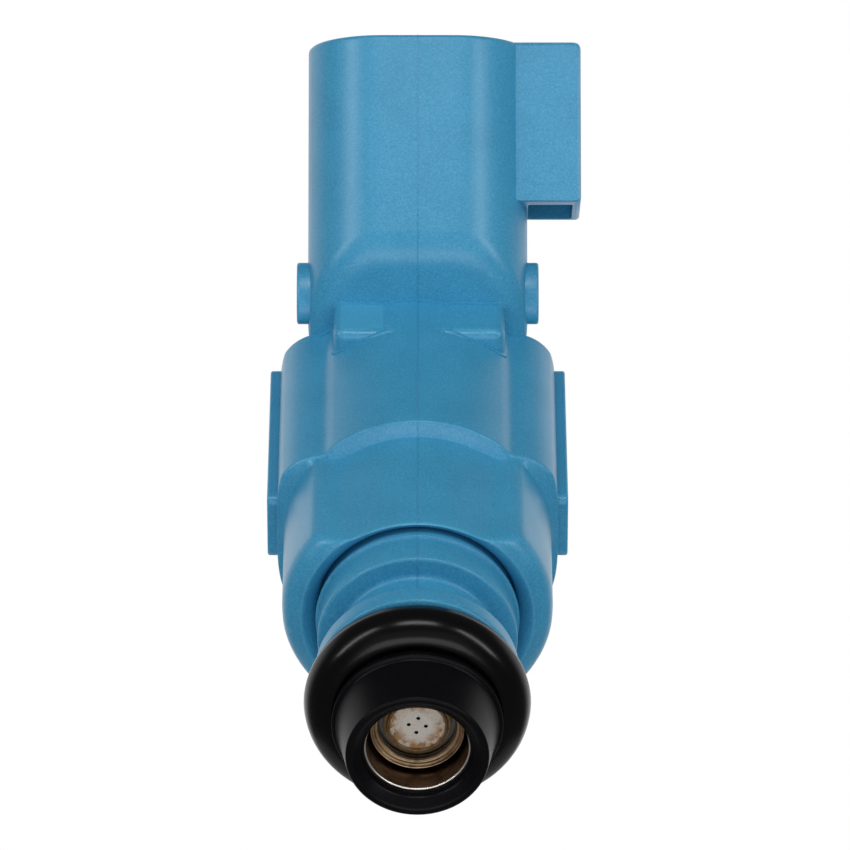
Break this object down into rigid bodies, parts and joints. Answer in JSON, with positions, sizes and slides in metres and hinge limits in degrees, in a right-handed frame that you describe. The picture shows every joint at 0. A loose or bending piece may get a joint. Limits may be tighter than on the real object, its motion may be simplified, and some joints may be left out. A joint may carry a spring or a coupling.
{
  "type": "fuel injector",
  "caption": "Port fuel injector with a capped nozzle, two O-ring seals, an oval plug socket with a latch box, and a spring-closed needle inside.",
  "frame": {"origin": "centre of the lower O-ring on the spray axis, where the injector seats in its port", "axes": "the nozzle points to -Y and the fuel inlet to +Y, the plug socket leans over the top, to +Z"},
  "size_m": [0.021, 0.0716, 0.0324],
  "materials": {
    "blue_plastic": "fine-grained moulded plastic, satin",
    "black_plastic": "smooth moulded plastic",
    "rubber": "smooth seal rubber",
    "steel": "drawn stainless steel",
    "bright_steel": "ground steel",
    "plate_steel": "dull stained steel",
    "dark_steel": "soft magnetic iron",
    "spring_steel": "drawn wire",
    "nonmagnetic_steel": "turned steel",
    "bobbin_plastic": "moulded plastic",
    "copper": "enamelled copper wire",
    "tinned_brass": "tinned",
    "brass": "turned brass",
    "filter_plastic": "natural nylon",
    "filter_cloth": "fine woven nylon"
  },
  "bodies": {
    "injector_body": {"overmould": "blue_plastic", "tip_cap": "black_plastic", "lower_o_ring": "rubber", "upper_o_ring": "rubber", "upper_support_ring": "black_plastic", "valve_sleeve": "steel", "plate_holder": "bright_steel", "orifice_plate": "plate_steel", "valve_seat": "dark_steel", "needle_guide": "dark_steel", "return_spring": "spring_steel", "adjusting_sleeve": "brass", "inlet_tube": "steel", "nonmagnetic_ring": "nonmagnetic_steel", "coil_bobbin": "bobbin_plastic", "coil_winding": "copper", "solenoid_housing": "dark_steel", "flux_washer": "dark_steel", "terminal_left": "tinned_brass", "terminal_right": "tinned_brass", "filter_collar": "brass", "filter_cage": "filter_plastic", "filter_cloth": "filter_cloth"},
    "needle": {"valve_ball": "bright_steel", "needle_tube": "steel", "armature": "dark_steel"}
  },
  "joints": [
    {"name": "needle_lift", "type": "slide", "parent": "injector_body", "child": "needle", "axis": [0, 1, 0], "range_m": [0, 0.0001], "stiffness_N_per_m": 800, "springref_m": -0.003, "deforming": ["return_spring"]}
  ]
}
